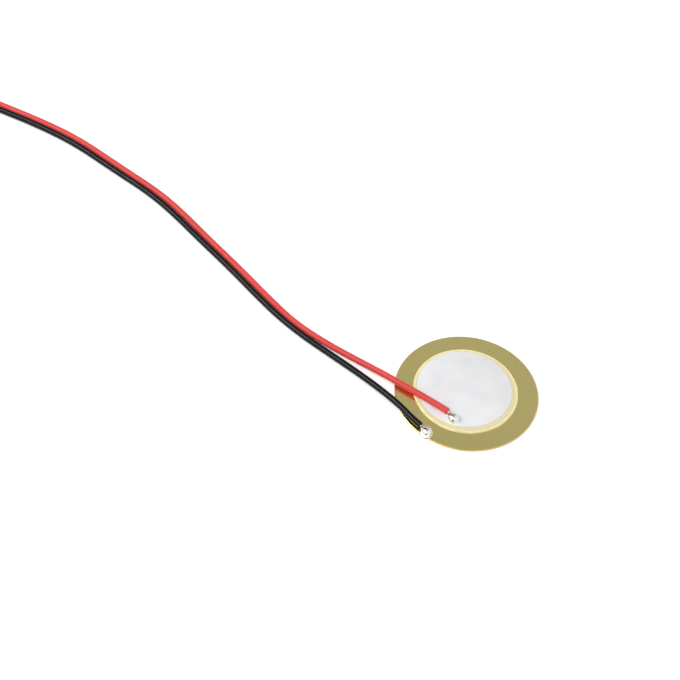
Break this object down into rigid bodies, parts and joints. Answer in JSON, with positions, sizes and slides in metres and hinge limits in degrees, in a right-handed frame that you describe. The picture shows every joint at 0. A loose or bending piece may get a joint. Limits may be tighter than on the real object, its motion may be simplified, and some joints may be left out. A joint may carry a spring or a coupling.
{
  "type": "piezo disc",
  "caption": "Round brass plate with a silvered piezo ceramic disc bonded to it and red and black soldered leads, used as a buzzer sounder or a contact pickup.",
  "frame": {"origin": "centre of the brass plate's back face", "axes": "+Z out of the ceramic side, the ground joint on -Y, the leads run off towards -X"},
  "size_m": [0.1617, 0.0273, 0.0018],
  "materials": {
    "brass": "rolled sheet, satin",
    "adhesive": "cured film",
    "silver": "fired silver, matte",
    "ceramic": "unglazed, satin",
    "solder": "bright solder",
    "tinned_copper": "tinned",
    "red_pvc": "extruded, semi-gloss",
    "black_pvc": "extruded, semi-gloss"
  },
  "bodies": {
    "root": {"brass_plate": "brass", "bond_film": "adhesive", "lower_electrode": "silver", "ceramic_disc": "ceramic", "upper_electrode": "silver", "signal_solder": "solder", "ground_solder": "solder", "signal_conductor": "tinned_copper", "signal_insulation": "red_pvc", "ground_conductor": "tinned_copper", "ground_insulation": "black_pvc"}
  },
  "joints": []
}
